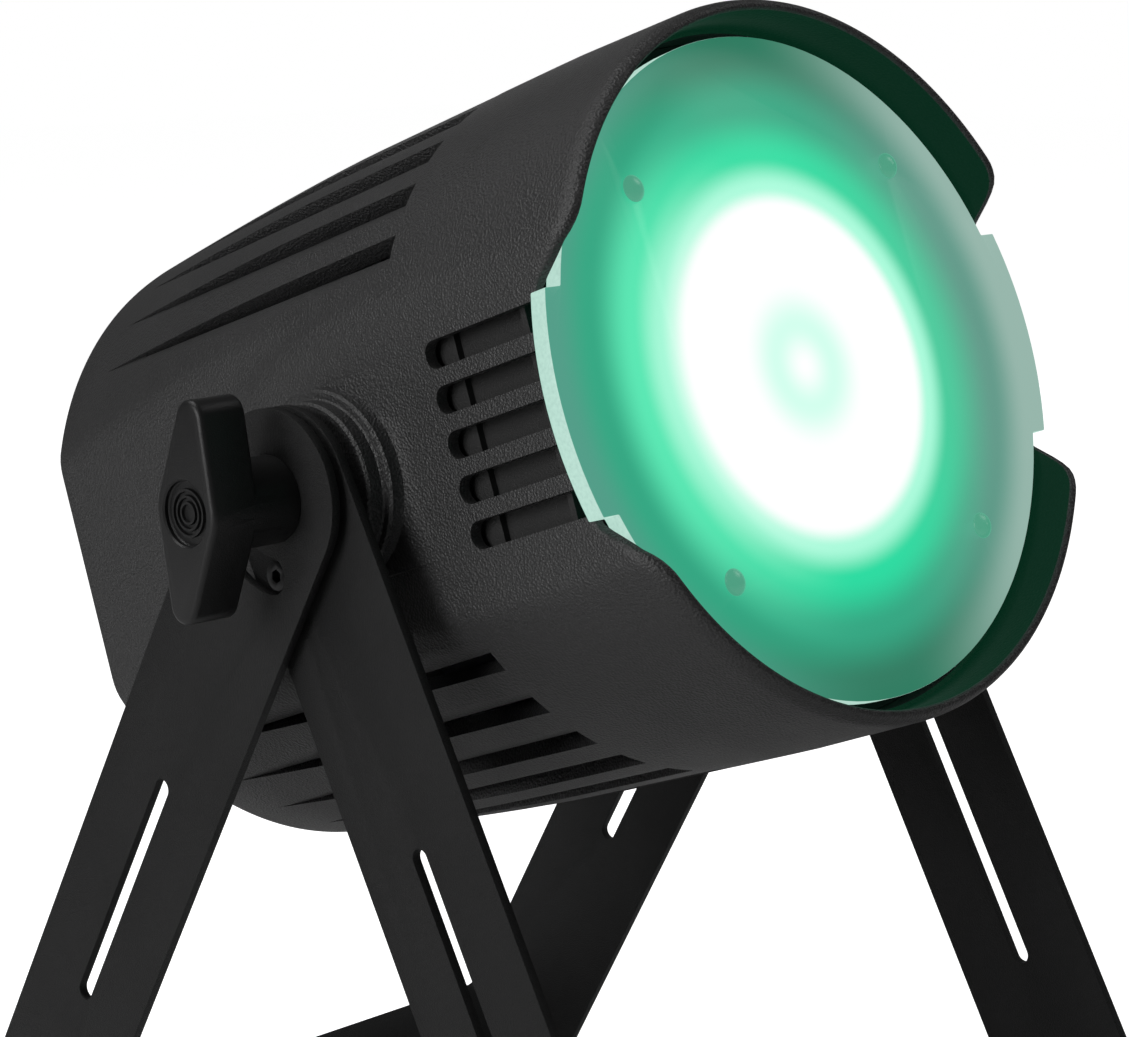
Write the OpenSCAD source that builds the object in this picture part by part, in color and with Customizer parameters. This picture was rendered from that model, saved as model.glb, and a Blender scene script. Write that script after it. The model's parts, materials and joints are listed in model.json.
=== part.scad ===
// A par can light: a cast round lamp housing with a frosted front disc,
// held by clamping knobs between two strap stands that fold together.
// Origin on the floor under the middle, Z up, front towards -Y.

/* [Stand] */
// Width of the steel strap
strap_w = 51.5; // [44:0.5:60]
// Thickness of the steel strap
strap_t = 3; // [2:0.5:4]
// Pivot to the underside of the outer stand's foot
leg_len = 301; // [250:1:360]
// Lean of the outer stand from upright, degrees
outer_lean = 30.2; // [25:0.1:36]
// Inside radius of the strap's bends
bend_r = 3; // [1:0.5:8]
// Width of the long slot in each leg
leg_slot_w = 6; // [5:0.5:9]
// Pivot to the upper end of the leg slot
leg_slot_top = 107; // [90:1:130]
// Pivot to the lower end of the leg slot
leg_slot_end = 198; // [150:1:220]
// Hole for a clamp bolt in the middle of each foot
clamp_hole_d = 13; // [8:0.5:14]
// Smaller holes either side of the clamp hole
side_hole_d = 9; // [5:0.5:11]
// Middle of the foot to a smaller hole
side_hole_x = 42; // [30:1:80]
// Gap between the two feet when folded together
fold_gap = 0.4; // [0.3:0.1:2]

/* [Pivot] */
// Diameter of the clamping stud
stud_d = 8; // [6:0.5:10]
// Height of the cast boss over the housing's flat side
boss_h = 10.9; // [8:0.1:14]
// Radius of the cast boss
boss_r = 26; // [22:0.5:27]
// Thickness of the friction disc
friction_t = 4.9; // [3:0.1:7]
// Radius of the friction disc
friction_r = 19; // [14:0.5:19]
// Thickness of the spacer between the two stands
spacer_t = 2.8; // [1.5:0.1:4]
// Radius of the spacer
spacer_r = 16; // [13:0.5:16]
// Distance of the stop screw from the pivot
stop_r = 22.5; // [21:0.5:25]
// Head diameter of the stop screw
stop_head_d = 8.5; // [7:0.5:9]
// Width of the curved slot that the stop screw runs in
stop_slot_w = 11; // [10:0.5:12]

/* [Knobs] */
// Length of the knob's hub
hub_len = 14.9; // [10:0.1:20]
// Radius of the knob's hub
hub_r = 12.7; // [10:0.1:14]
// Thickness of the knob's handle
handle_t = 16.6; // [12:0.1:20]
// Middle of the knob to the tip of a wing
wing_reach = 32; // [25:0.5:40]
// Radius of a wing's round tip
wing_tip_r = 4.2; // [3:0.1:6]

/* [Head] */
// Upward tilt of the head, degrees
head_tilt = 19.2; // [-60:0.1:80]
// Radius of the housing
body_r = 107.6; // [104:0.1:116]
// Radius of the housing at its rear edge
rear_r = 102; // [100:0.1:103]
// Width across the housing's flat sides
flats = 193; // [186:0.5:196]
// Pivot to the front edge of the hood
body_front = 116; // [113:0.5:124]
// Pivot to the rear edge of the housing
body_rear = 132; // [130:0.5:136]
// Where the housing starts to narrow, behind the pivot
taper_start = 15; // [5:1:40]
// Casting wall at the flat sides
side_wall = 4; // [3:0.5:6]
// Casting wall of the round part
round_wall = 6.6; // [5.5:0.1:8]

/* [Vents] */
// Vent grooves in each quarter of the housing
grooves = 6; // [3:1:6]
// Angle between two grooves
groove_pitch = 10.3; // [9.5:0.1:10.5]
// Width of a groove
groove_w = 10; // [7:0.5:12]
// Depth of a groove
groove_depth = 4.1; // [2.5:0.1:4.5]
// Front end of the grooves, ahead of the pivot
groove_front = 40; // [30:1:46]
// Width of the opening in a groove
vent_w = 5; // [3:0.5:7]
// Open slots in each flat side
side_slots = 5; // [3:1:5]
// Distance between two side slots
side_slot_pitch = 12.9; // [12:0.1:14]
// Height of a side slot
side_slot_h = 8; // [5:0.5:9]
// Rear end of the side slots, ahead of the pivot
side_slot_rear = 49.5; // [44:0.5:60]

/* [Optics] */
// Radius of the frosted front disc
disc_r = 98; // [92:0.5:99]
// Thickness of the frosted front disc
disc_t = 6; // [4:0.5:8]
// Pivot to the front face of the disc
disc_front = 104; // [102:0.5:110]
// Radius of the two ears at the sides of the disc
ear_r = 103.6; // [100:0.1:106]
// Height of an ear
ear_h = 63; // [50:1:66]
// Distance of the disc's screws from the axis
disc_screw_r = 79; // [70:1:86]
// Radius of the reflector's mouth
mouth_r = 54; // [45:1:60]
// Radius of the reflector's throat
throat_r = 17; // [12:0.5:20]

/* [Cooling] */
// Width of the square fan
fan_w = 92; // [80:1:92]
// Depth of the fan
fan_t = 25; // [20:1:28]
// Depth of the heat sink's fins
fin_depth = 44; // [30:1:46]
// Thickness of a fin
fin_t = 2; // [1:0.1:3]
// Distance between two fins
fin_pitch = 7; // [5:0.5:10]

/* [Hidden] */
$fn = 96;

over = 1;         // how far a cut runs past a face
fit = 0.05;       // radial clearance of a running fit
clear = 0.3;      // clearance of a loose fit
m4_r = 1.95;      // screw shanks
m3_r = 1.45;
m4_hole = 2.2;    // radius of a clearance hole for them
m3_hole = 1.8;

// Stand, seen along X: the inner foot passes inside the outer foot
half_w = strap_w / 2;
inner_len = sqrt(pow(leg_len - strap_t - fold_gap, 2) - half_w * half_w);
pivot_z = leg_len * cos(outer_lean) + half_w * sin(outer_lean);
inner_lean = atan(half_w / inner_len) + acos(pivot_z / sqrt(inner_len * inner_len + half_w * half_w));
front_reach = inner_len * sin(inner_lean) + half_w * cos(inner_lean);
rear_reach = leg_len * sin(outer_lean) + half_w * cos(outer_lean);
pivot_y = (front_reach - rear_reach) / 2;

// Stack of pieces along X at the pivot
flat_x = flats / 2;
boss_x = flat_x + boss_h;
inner_x = boss_x + friction_t;
spacer_x = inner_x + strap_t;
outer_x = spacer_x + spacer_t;
hub_x = outer_x + strap_t;
handle_x = hub_x + hub_len;
stud_grip = 10;                       // stud inside the knob
stud_in = 20;                         // stud inside the boss
insert_r = stud_d / 2 + 3.5;
insert_len = 12;
insert_depth = 2;                     // insert below the boss face
boss_inner = 8;                       // boss behind the flat wall

// Stop screw
stop_shank_d = 5;
stop_head_h = 5;
stop_socket_d = 4;
stop_free = (stop_slot_w - stop_head_d) / 2;
stop_half = outer_lean - atan((stop_free - fit * 3) / stop_r);

// Housing along its axis
in_x = flat_x - side_wall;            // inside of the flat sides
in_r = body_r - round_wall;
rear_in_r = rear_r - 4;
flare_z = -60;                        // where the inside stops getting wider
hood_wall = 5.3;
hood_r = body_r - hood_wall;
disc_back = disc_front - disc_t;
groove_floor = body_r - groove_depth;
vent_rear = -35;
vent_front = groove_front - 2;
rim_r = body_r - 1.3;
rim_round = 2;
notch_half = ear_h / 2 + 3;           // side cut of the hood, at the ear
notch_run = 20;                       // how much wider it is at the rim
pad_half = 29;                        // raised pad ahead of each boss
pad_front = 36;
pad_h = 1.6;
side_slot_front = disc_back - 4;
ledge = 3.5;                          // width of the ledges inside

// Inside, front to back
plate_t = 2;
plate_z = 86;                         // rear face of the front plate
base_t = 8;
base_z = 2;                           // front face of the heat sink's base
base_half = flat_x - side_wall - boss_inner - 2.5;
fin_r = 78;
ring_in = 84;
ring_t = 4;
cob_w = 50;
cob_t = 3;
holder_t = 4;
throat_z = base_z + cob_t + holder_t;
base_screw_r = 88;
fan_z = base_z - base_t - fin_depth;  // front face of the fan
fan_back = fan_z - fan_t;
fan_bore = fan_w / 2 - 2;
fan_hole = fan_w / 2 - 4.75;
rotor_hub_r = 17;
rotor_r = fan_bore - 1.5;
bearing_r = 3;
chassis_z = -78;                      // front face of the chassis plate
chassis_t = 2;
chassis_r = rear_in_r - 3;
chassis_hole_r = 42;
chassis_screw_r = 91;
lead_r = 1.2;
lead_x = 4;
lead_y = -80;
board_t = 1.6;
board_gap = 3.4;

// Rear panel, seen in head coordinates
cover_t = 3;
cover_recess = 4;
cover_z = -body_rear + cover_recess;  // inner face of the cover
cover_out = cover_z - cover_t;        // outer face of the cover
cover_screw_r = rear_in_r - 8;
cover_screws = [20, 60, 120, 160, 200, 240, 300, 340];   // degrees round the axis
post_r = 5;
post_len = 12;                        // posts that the cover's screws go into
display_y = 50;
display_w = 58;
display_h = 24;
button_y = 24;
button_xs = [-30, -10, 10, 30];
button_r = 4.5;
button_out = 3;
button_in = 1.5;
button_travel = 1.2;
panel_z = cover_z + 9;                // front face of the control board
dmx_y = -8;
power_y = -48;
socket_x = 24;
flange_w = 26;
flange_h = 31;
flange_t = 2.5;
socket_r = 11.8;
socket_bore_r = 9;
socket_depth = 16;
socket_len = 25;
screw_offset = [9.5, 12];
latch_w = 7;
latch_h = 3;
latch_y = 12.4;
latch_out = 1.6;
latch_travel = 1.5;
pin_len = 8;
fuse_at = [66, -28];
fuse_body_r = 6;
fuse_bore_r = fuse_body_r - 1.6;
fuse_rim = cover_out - 2;             // outer face of the fuse holder
fuse_len = 24;
eye_y = 82;
eye_r = 12;
eye_rod_r = 3;
eye_stand = 5;

// Everything that tilts is drawn with Z along the beam and Y upwards
module on_head() {
    translate([0, pivot_y, pivot_z]) rotate([90 - head_tilt, 0, 0]) children();
}

module at_pivot() {
    translate([0, pivot_y, pivot_z]) children();
}

// Turns a shape drawn along Z so that it points along +X
module along_x() {
    rotate([0, 90, 0]) children();
}

module both_sides() {
    for (side = [0, 180]) rotate([0, 0, side]) children();
}

module at_corners(dx, dy) {
    for (x = [-dx, dx]) for (y = [-dy, dy]) translate([x, y, 0]) children();
}

module at_diagonals(r) {
    for (a = [45 : 90 : 315]) rotate([0, 0, a]) translate([r, 0, 0]) children();
}

module tube(outer, inner, length) {
    difference() {
        cylinder(r = outer, h = length);
        translate([0, 0, -over]) cylinder(r = inner, h = length + 2 * over);
    }
}

// A round screw with a low head: the head's seat is at z = 0 and the shank runs to +Z
module pan_screw(head_r, head_h, shank_r, length) {
    difference() {
        union() {
            translate([0, 0, -head_h]) cylinder(r = head_r, h = head_h);
            cylinder(r = shank_r, h = length);
        }
        translate([0, 0, -head_h - over]) cylinder(r = head_r * 0.45, h = head_h * 0.6 + over, $fn = 6);
    }
}

// ---- Stand ----

module u_block(half, depth, r) {
    translate([-half, r - depth]) square([2 * half, depth - r + half_w + over]);
    translate([r - half, -depth]) square([2 * (half - r), 2 * r]);
    for (side = [-1, 1]) translate([side * (half - r), r - depth]) circle(r);
}

module strap_profile(inside, length) {
    difference() {
        u_block(inside + strap_t, length, bend_r + strap_t);
        u_block(inside, length - strap_t, bend_r);
    }
}

module strap_outline(length) {
    circle(half_w);
    translate([-half_w, -length - over]) square([strap_w, length + over]);
}

// Legs and foot bent from one strap, pivot at the origin, foot along -Z
module strap_stand(inside, length) {
    half_x = inside + strap_t + over;
    slot_run = leg_slot_end - leg_slot_top - leg_slot_w;
    difference() {
        intersection() {
            rotate([90, 0, 0]) translate([0, 0, -half_w]) linear_extrude(strap_w)
                strap_profile(inside, length);
            rotate([90, 0, 90]) translate([0, 0, -half_x]) linear_extrude(2 * half_x) strap_outline(length);
        }
        translate([-half_x, 0, 0]) along_x() cylinder(r = stud_d / 2 + fit, h = 2 * half_x);
        translate([-half_x, 0, -leg_slot_end + leg_slot_w / 2]) {
            translate([0, -leg_slot_w / 2, 0]) cube([2 * half_x, leg_slot_w, slot_run]);
            for (z = [0, slot_run]) translate([0, 0, z]) along_x() cylinder(d = leg_slot_w, h = 2 * half_x);
        }
        translate([0, 0, -length - over]) {
            cylinder(d = clamp_hole_d, h = strap_t + 2 * over);
            for (x = [-side_hole_x, side_hole_x]) translate([x, 0, 0])
                cylinder(d = side_hole_d, h = strap_t + 2 * over);
        }
    }
}

function arc(r, from, to, steps, middle) =
    [for (i = [0 : steps]) let (a = from + (to - from) * i / steps) middle + r * [cos(a), sin(a)]];

// Curved slot round the pivot, drawn in the plane of the strap, middle along -Y
module stop_slot_outline() {
    wide = stop_slot_w / 2;
    low = -90 - stop_half;
    high = -90 + stop_half;
    polygon(concat(
        arc(stop_r + wide, low, high, 24, [0, 0]),
        arc(wide, high + 10, high + 170, 12, stop_r * [cos(high), sin(high)]),
        arc(stop_r - wide, high, low, 24, [0, 0]),
        arc(wide, low + 190, low + 350, 12, stop_r * [cos(low), sin(low)])
    ));
}

module inner_bracket() {
    color("#1d1d1e") at_pivot() rotate([-inner_lean, 0, 0]) difference() {
        strap_stand(inner_x, inner_len);
        for (side = [0, 1]) mirror([side, 0, 0]) rotate([inner_lean, 0, 0])
            translate([inner_x - over, 0, -stop_r]) along_x() cylinder(d = stop_shank_d, h = strap_t + 2 * over);
    }
}

module outer_bracket() {
    color("#1d1d1e") at_pivot() rotate([outer_lean, 0, 0]) difference() {
        strap_stand(outer_x, leg_len);
        for (side = [0, 1]) mirror([side, 0, 0]) translate([outer_x - over, 0, 0])
            rotate([90, 0, 90]) linear_extrude(strap_t + 2 * over) stop_slot_outline();
    }
}

module stop_screws() {
    color("#2a2a2c") at_pivot() for (side = [0, 1]) mirror([side, 0, 0])
        translate([spacer_x, 0, -stop_r]) along_x() difference() {
            union() {
                cylinder(d = stop_head_d, h = stop_head_h);
                translate([0, 0, -strap_t]) cylinder(d = stop_shank_d, h = strap_t);
            }
            translate([0, 0, stop_head_h / 2]) cylinder(d = stop_socket_d, h = stop_head_h, $fn = 6);
        }
}

module spacer_washers() {
    color("#333335") at_pivot() both_sides() translate([spacer_x, 0, 0]) along_x()
        tube(spacer_r, stud_d / 2 + fit, spacer_t);
}

// ---- Housing ----

taper_steps = 10;
outer_points = concat(
    [[0, -body_rear]],
    [for (i = [taper_steps : -1 : 0]) let (f = i / taper_steps)
        [body_r - (body_r - rear_r) * pow(f, 1.5), -taper_start - f * (body_rear - taper_start)]],
    [[body_r, 70], [rim_r, body_front - rim_round], [rim_r - rim_round, body_front], [0, body_front]]
);

// Room inside a round casting, from one height to another, with its flat sides
module room(r1, r2, half_x, from, to) {
    intersection() {
        translate([0, 0, from]) cylinder(r1 = r1, r2 = r2, h = to - from);
        translate([-half_x, -body_r, from]) cube([2 * half_x, 2 * body_r, to - from]);
    }
}

module hood_notch() {
    steps = 10;
    tall = body_front + over - disc_back;
    right = [for (i = [0 : steps]) let (f = i / steps)
        [notch_half + notch_run * f, disc_back + tall * (1 - cos(180 * f)) / 2]];
    left = [for (i = [steps : -1 : 0]) [-right[i][0], right[i][1]]];
    rotate([90, 0, 90]) translate([0, 0, disc_r - 20]) linear_extrude(body_r) polygon(concat(right, left));
}

module side_slot() {
    long = side_slot_front - side_slot_rear;
    end_r = side_slot_h / 2;
    translate([in_x - ledge / 2 + fit, 0, side_slot_rear]) {
        translate([0, -end_r, end_r]) cube([side_wall + ledge, side_slot_h, long - side_slot_h]);
        for (z = [end_r, long - end_r]) translate([0, 0, z]) along_x()
            cylinder(r = end_r, h = side_wall + ledge);
    }
}

module vent_groove() {
    translate([groove_floor, -groove_w / 2, -body_rear])
        cube([groove_depth + over, groove_w, body_rear + groove_front]);
    translate([in_r - over, -vent_w / 2, vent_rear]) cube([round_wall, vent_w, vent_front - vent_rear]);
}

module at_grooves() {
    for (half = [90, 270]) for (i = [0 : grooves - 1]) for (side = [-1, 1])
        rotate([0, 0, half + side * groove_pitch * (i + 0.5)]) children();
}

module pivot_boss() {
    translate([in_x - boss_inner, 0, 0]) along_x() cylinder(r = boss_r - 5, h = boss_inner + side_wall);
    translate([flat_x - over, 0, 0]) along_x() {
        cylinder(r = pad_half, h = boss_h / 2 + over - 0.4);
        cylinder(r = boss_r, h = boss_h + over);
    }
    translate([flat_x - over, -pad_half, 0]) cube([pad_h + over, 2 * pad_half, pad_front]);
}

module boss_bore() {
    translate([boss_x - insert_depth - insert_len, 0, 0]) along_x()
        cylinder(r = insert_r + fit, h = insert_depth + insert_len + over);
    translate([in_x - boss_inner - over, 0, 0]) along_x()
        cylinder(r = stud_d / 2 + fit, h = boss_inner + side_wall + boss_h + over);
}

module shell_ledges() {
    // Ring that the heat sink's base screws to
    difference() {
        room(in_r + over, in_r + over, in_x + over, base_z, base_z + ring_t);
        room(ring_in, ring_in, base_half + 0.5, base_z - over, base_z + ring_t + over);
    }
    // Ledge behind the front plate
    difference() {
        room(in_r + over, in_r + over, in_x + over, plate_z - ring_t, plate_z);
        room(in_r - 9, in_r - 9, in_x - ledge, plate_z - ring_t - over, plate_z + over);
    }
    // Ledge ahead of the chassis plate
    difference() {
        room(in_r + over, in_r - 1, in_x + over, chassis_z, chassis_z + ring_t);
        room(chassis_r - 8, chassis_r - 8, in_x - ledge * 2, chassis_z - over, chassis_z + ring_t + over);
    }
    // Posts for the rear cover's screws
    for (a = cover_screws) rotate([0, 0, a]) translate([cover_screw_r, 0, cover_z])
        cylinder(r = post_r, h = post_len);
}

module shell_screw_holes() {
    for (a = cover_screws) rotate([0, 0, a]) translate([cover_screw_r, 0, cover_z - over])
        cylinder(r = m4_r + fit, h = post_len - 2 + over);
    at_diagonals(base_screw_r) translate([0, 0, base_z - over]) cylinder(r = m4_r + fit, h = ring_t + 2 * over);
    at_diagonals(chassis_screw_r) translate([0, 0, chassis_z - over])
        cylinder(r = m3_r + fit, h = ring_t + 2 * over);
}

module body_shell() {
    color("#232325") on_head() difference() {
        union() {
            difference() {
                intersection() {
                    rotate_extrude() polygon(outer_points);
                    translate([-flat_x, -body_r, -body_rear]) cube([flats, 2 * body_r, body_rear + body_front]);
                }
                room(rear_in_r, rear_in_r, in_x, -body_rear - over, -body_rear + cover_recess);
                room(rear_in_r - ledge, rear_in_r - ledge, in_x - ledge, cover_z - over, cover_z + 8);
                room(rear_in_r - 1, in_r, in_x, cover_z + 6, flare_z);
                room(in_r, in_r, in_x, flare_z - fit, disc_back + fit);
                room(hood_r, hood_r, in_x + 0.5, disc_back, body_front + over);
            }
            intersection() {
                shell_ledges();
                rotate_extrude() polygon([
                    [0, -body_rear], [rear_r - 1, -body_rear], [body_r - 2, 0], [body_r - 2, plate_z], [0, plate_z]
                ]);
            }
            both_sides() pivot_boss();
        }
        both_sides() {
            hood_notch();
            boss_bore();
            for (i = [0 : side_slots - 1])
                translate([0, (i - (side_slots - 1) / 2) * side_slot_pitch, 0]) side_slot();
        }
        at_grooves() vent_groove();
        shell_screw_holes();
    }
}

module thread_inserts() {
    color("#b08d3c") on_head() both_sides() translate([boss_x - insert_depth - insert_len, 0, 0]) along_x()
        tube(insert_r, stud_d / 2 + fit, insert_len);
}

module friction_discs() {
    color("#151516") on_head() both_sides() translate([boss_x, 0, 0]) along_x()
        tube(friction_r, stud_d / 2 + fit, friction_t);
}

// ---- Clamping knobs ----

module wing_outline() {
    tip = [2.6, wing_reach - wing_tip_r];
    translate(tip) circle(wing_tip_r);
    polygon([
        [tip[0] + wing_tip_r, tip[1]], [hub_r * cos(38), hub_r * sin(38)], [0, 0],
        [hub_r * cos(172), hub_r * sin(172)], [tip[0] - wing_tip_r, tip[1]]
    ]);
}

module knob() {
    recess_r = 9.2;
    ring_w = 0.7;
    difference() {
        union() {
            translate([hub_x, 0, 0]) along_x() cylinder(r = hub_r, h = hub_len + over);
            translate([handle_x, 0, 0]) rotate([90, 0, 90]) linear_extrude(handle_t) {
                circle(hub_r);
                for (turn = [0, 180]) rotate(turn) wing_outline();
            }
        }
        translate([hub_x - over, 0, 0]) along_x() cylinder(r = stud_d / 2 + fit, h = stud_grip + over);
        translate([handle_x + handle_t - 2, 0, 0]) along_x() difference() {
            cylinder(r = recess_r, h = 2 + over);
            for (r = [2 : 2 : 7]) tube(r + ring_w, r, 1);
            translate([0, 0, -over]) cylinder(r = 0.9, h = over + 1);
        }
    }
}

module stud() {
    translate([boss_x - stud_in, 0, 0]) along_x()
        cylinder(r = stud_d / 2, h = hub_x + stud_grip - boss_x + stud_in);
}

module knob_left() {
    color("#161617") at_pivot() rotate([0, 0, 180]) knob();
}

module knob_right() {
    color("#161617") at_pivot() knob();
}

module stud_left() {
    color("#9a9a9c") at_pivot() rotate([0, 0, 180]) stud();
}

module stud_right() {
    color("#9a9a9c") at_pivot() stud();
}

// ---- Optics ----

module diffuser() {
    color("#8fd9bd") on_head() translate([0, 0, disc_back]) difference() {
        linear_extrude(disc_t) {
            circle(disc_r, $fn = 180);
            intersection() {
                circle(ear_r, $fn = 180);
                translate([-ear_r, -ear_h / 2]) square([2 * ear_r, ear_h]);
            }
        }
        at_diagonals(disc_screw_r) translate([0, 0, -over]) cylinder(r = m4_hole, h = disc_t + 2 * over);
    }
}

module diffuser_posts() {
    color("#b9b9bb") on_head() at_diagonals(disc_screw_r) translate([0, 0, plate_z + plate_t])
        difference() {
            cylinder(r = 4, h = disc_back - plate_z - plate_t);
            translate([0, 0, over]) cylinder(r = m4_r + fit, h = disc_back - plate_z);
        }
}

module diffuser_screws() {
    head_r = 3.9;
    sphere_r = 4.9;
    low = plate_z + plate_t + 2;
    color("#9fd8c2") on_head() at_diagonals(disc_screw_r) {
        translate([0, 0, disc_front]) intersection() {
            cylinder(r = head_r, h = sphere_r / 2);
            translate([0, 0, -sphere_r / 2]) sphere(r = sphere_r);
        }
        translate([0, 0, low]) cylinder(r = m4_r, h = disc_front - low + fit);
    }
}

module front_plate() {
    color("#303033") on_head() difference() {
        room(in_r - clear, in_r - clear, in_x - clear, plate_z, plate_z + plate_t);
        translate([0, 0, plate_z - over]) cylinder(r = mouth_r, h = plate_t + 2 * over);
    }
}

module reflector() {
    wall = 1.2;
    lip = 6;
    long = plate_z - throat_z;
    steps = 12;
    bowl = [for (i = [0 : steps]) let (f = i / steps)
        [throat_r + (mouth_r - throat_r) * pow(f, 0.72), throat_z + long * f]];
    outside = [for (i = [steps : -1 : 0]) [bowl[i][0] + wall, bowl[i][1]]];
    color("#d8dadb") on_head() rotate_extrude() polygon(concat(
        bowl,
        [[mouth_r + lip, plate_z], [mouth_r + lip, plate_z - wall], [mouth_r + wall, plate_z - wall]],
        [for (i = [1 : steps]) outside[i]]
    ));
}

module cob_holder() {
    color("#e6e4dc") on_head() translate([0, 0, base_z + cob_t]) difference() {
        cylinder(r = 24, h = holder_t);
        translate([0, 0, -over]) cylinder(r = throat_r, h = holder_t + 2 * over);
    }
}

module cob_module() {
    color("#f2e3a8") on_head() translate([0, 0, base_z]) {
        translate([-cob_w / 2, -cob_w / 2, 0]) cube([cob_w, cob_w, cob_t]);
        cylinder(r = 15, h = cob_t + 0.8);
    }
}

// ---- Cooling ----

module heat_sink() {
    count = floor(fin_r * 0.9 / fin_pitch);
    color("#8d8f92") on_head() difference() {
        union() {
            room(in_r - 5, in_r - 5, base_half, base_z - base_t, base_z);
            for (i = [-count : count]) {
                high = sqrt(fin_r * fin_r - pow(i * fin_pitch, 2));
                translate([i * fin_pitch - fin_t / 2, -high, fan_z])
                    cube([fin_t, 2 * high, fin_depth + over]);
            }
        }
        at_diagonals(base_screw_r) translate([0, 0, base_z - base_t - over])
            cylinder(r = m4_hole, h = base_t + 2 * over);
        for (x = [-lead_x, lead_x]) translate([x, lead_y, base_z - base_t - over])
            cylinder(r = lead_r + clear, h = base_t + 2 * over);
        translate([0, 0, fan_z - over]) at_corners(fan_hole, fan_hole) cylinder(r = 1.6, h = 12 + over);
    }
}

module heat_sink_screws() {
    color("#a9a9ab") on_head() at_diagonals(base_screw_r) translate([0, 0, base_z - base_t])
        pan_screw(3.6, 2.6, m4_r, base_t + ring_t);
}

module lamp_leads() {
    bend_z = base_z + lead_r + fit;
    board_z = chassis_z - chassis_t - board_gap;
    color("#b23a32") on_head() for (x = [-lead_x, lead_x]) translate([x, lead_y, 0]) {
        translate([0, 0, board_z]) cylinder(r = lead_r, h = bend_z - board_z, $fn = 24);
        translate([0, 0, bend_z]) sphere(r = lead_r, $fn = 24);
        translate([0, 0, bend_z]) rotate([-90, 0, 0])
            cylinder(r = lead_r, h = -lead_y - cob_w / 2, $fn = 24);
    }
}

module fan_frame() {
    strut_w = 4;
    strut_t = 3;
    color("#1a1a1b") on_head() difference() {
        union() {
            difference() {
                translate([-fan_w / 2, -fan_w / 2, fan_back]) cube([fan_w, fan_w, fan_t]);
                translate([0, 0, fan_back - over]) cylinder(r = fan_bore, h = fan_t + 2 * over);
            }
            translate([0, 0, fan_back]) cylinder(r = rotor_hub_r, h = strut_t);
            at_diagonals(rotor_hub_r - over) translate([0, -strut_w / 2, fan_back])
                cube([fan_bore - rotor_hub_r + 2 * over, strut_w, strut_t]);
        }
        translate([0, 0, fan_back + over]) cylinder(r = bearing_r + fit, h = strut_t);
        translate([0, 0, fan_back - over]) at_corners(fan_hole, fan_hole)
            cylinder(r = m4_hole, h = fan_t + 2 * over);
    }
}

module fan_rotor() {
    blades = 7;
    low = fan_back + 4;
    tall = fan_t - 6;
    pitch = 38;       // twist of a blade, degrees
    blade_w = 30;
    blade_t = 1.6;
    color("#242426") on_head() {
        translate([0, 0, low]) cylinder(r = rotor_hub_r, h = tall);
        translate([0, 0, fan_back + over + clear]) cylinder(r = bearing_r, h = 4);
        intersection() {
            translate([0, 0, low]) tube(rotor_r, rotor_hub_r - over, tall);
            for (i = [0 : blades - 1]) rotate([0, 0, i * 360 / blades])
                translate([rotor_hub_r - over, 0, low + tall / 2]) rotate([pitch, 0, 0])
                    translate([0, -blade_w / 2, -blade_t / 2]) cube([rotor_r, blade_w, blade_t]);
        }
    }
}

module fan_screws() {
    color("#a9a9ab") on_head() translate([0, 0, fan_back]) at_corners(fan_hole, fan_hole)
        pan_screw(3.2, 2.2, 1.55, fan_t + 9);
}

// ---- Electronics ----

module chassis_plate() {
    color("#9b9da0") on_head() difference() {
        room(chassis_r, chassis_r, in_x - clear - 1, chassis_z - chassis_t, chassis_z);
        translate([0, 0, chassis_z - chassis_t - over]) {
            cylinder(r = chassis_hole_r, h = chassis_t + 2 * over);
            at_diagonals(chassis_screw_r) cylinder(r = m3_hole, h = chassis_t + 2 * over);
            for (x = [-lead_x, lead_x]) translate([x, lead_y, 0])
                cylinder(r = lead_r + clear, h = chassis_t + 2 * over);
        }
    }
}

module chassis_screws() {
    color("#a9a9ab") on_head() at_diagonals(chassis_screw_r) translate([0, 0, chassis_z - chassis_t])
        pan_screw(2.8, 2, m3_r, chassis_t + ring_t);
}

module power_supply() {
    size = [84, 32, 34];
    low = chassis_hole_r + 4;
    back = chassis_z - chassis_t - size[2];
    color("#c3c5c7") on_head() translate([-size[0] / 2, low, back]) difference() {
        cube(size);
        for (i = [0 : 7]) translate([10 + i * 9, size[1] - 1.2, 6]) cube([4, 1.2 + over, size[2] - 12]);
        translate([6, 6, -over]) cube([size[0] - 12, size[1] - 12, 3 + over]);
    }
}

module driver_board() {
    board = [76, 34, board_t];
    top = -chassis_hole_r - 4;
    face = chassis_z - chassis_t - board_gap;
    color("#1f6b3f") on_head() {
        translate([-board[0] / 2, top - board[1], face - board_t]) cube(board);
        for (x = [-33, 33]) for (y = [top - 4, top - 20]) translate([x, y, face - fit])
            cylinder(r = 2.5, h = board_gap + fit);
        translate([-24, top - 22, face - 14]) cube([16, 16, 14]);
        translate([6, top - 12, face - 12]) cylinder(r = 6, h = 12);
        translate([22, top - 12, face - 10]) cylinder(r = 5, h = 10);
    }
}

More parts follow.
